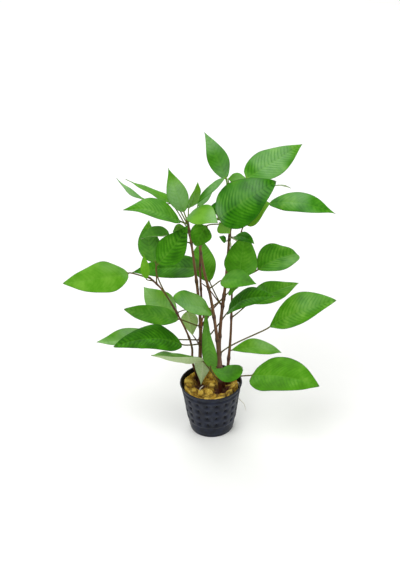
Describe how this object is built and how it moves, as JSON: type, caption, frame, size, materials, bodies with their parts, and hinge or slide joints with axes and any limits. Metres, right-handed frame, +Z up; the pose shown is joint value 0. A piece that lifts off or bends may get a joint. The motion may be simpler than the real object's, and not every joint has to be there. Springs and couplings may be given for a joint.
{
  "type": "potted temple plant",
  "caption": "Leafy aquarium plant with broad green leaves on thin brown stems, rooted in a rockwool plug in a small dark plastic pot.",
  "frame": {"origin": "centre of the pot's flat underside", "axes": "+Z up, the plant's front faces -Y, +X to the right as seen from the front"},
  "size_m": [0.2241, 0.1083, 0.2792],
  "materials": {
    "pot": "matte, dark slate",
    "rockwool": "fibrous, ochre",
    "stem": "smooth, brown",
    "leaf": "satin, green"
  },
  "bodies": {
    "root": {"pot": "pot", "rockwool": "rockwool", "stem_tall_left": "stem", "stem_tall_left_branch": "stem", "stem_middle": "stem", "stem_tall_right": "stem", "stem_short_right": "stem", "stem_left": "stem", "leaf_back_left_curled": "leaf", "leaf_back_left_narrow": "leaf", "leaf_upper_left": "leaf", "leaf_upper_left_upright": "leaf", "leaf_young_upright": "leaf", "leaf_crown_yellow": "leaf", "leaf_small_left": "leaf", "leaf_young_dark": "leaf", "leaf_centre_drooping": "leaf", "leaf_top": "leaf", "leaf_top_right": "leaf", "leaf_top_bud_right": "leaf", "leaf_dark_behind": "leaf", "leaf_crossing_narrow": "leaf", "leaf_upper_right_broad": "leaf", "leaf_upper_right_behind": "leaf", "leaf_upper_right_drooping": "leaf", "leaf_upper_right_edge": "leaf", "leaf_young_yellow": "leaf", "leaf_small_dark": "leaf", "leaf_tiny": "leaf", "leaf_middle_upright": "leaf", "leaf_middle_right": "leaf", "leaf_middle_tucked": "leaf", "leaf_centre_back": "leaf", "leaf_centre_left": "leaf", "leaf_middle_front": "leaf", "leaf_over_pot": "leaf", "leaf_middle_right_back": "leaf", "leaf_middle_right_front": "leaf", "leaf_right_broad": "leaf", "leaf_lower_right_back": "leaf", "leaf_lower_right": "leaf", "leaf_hanging_pale": "leaf", "leaf_lower_left_folded": "leaf", "leaf_lower_left": "leaf", "leaf_lower_left_behind": "leaf", "leaf_left_middle": "leaf", "leaf_left_behind": "leaf", "leaf_hanging_small": "leaf", "leaf_centre_hanging": "leaf", "leaf_left_upper_front": "leaf", "leaf_left_curled": "leaf", "leaf_left_curled_under": "leaf", "leaf_left_behind_upper": "leaf", "leaf_far_left": "leaf", "leaf_left_bud": "leaf"}
  },
  "joints": []
}
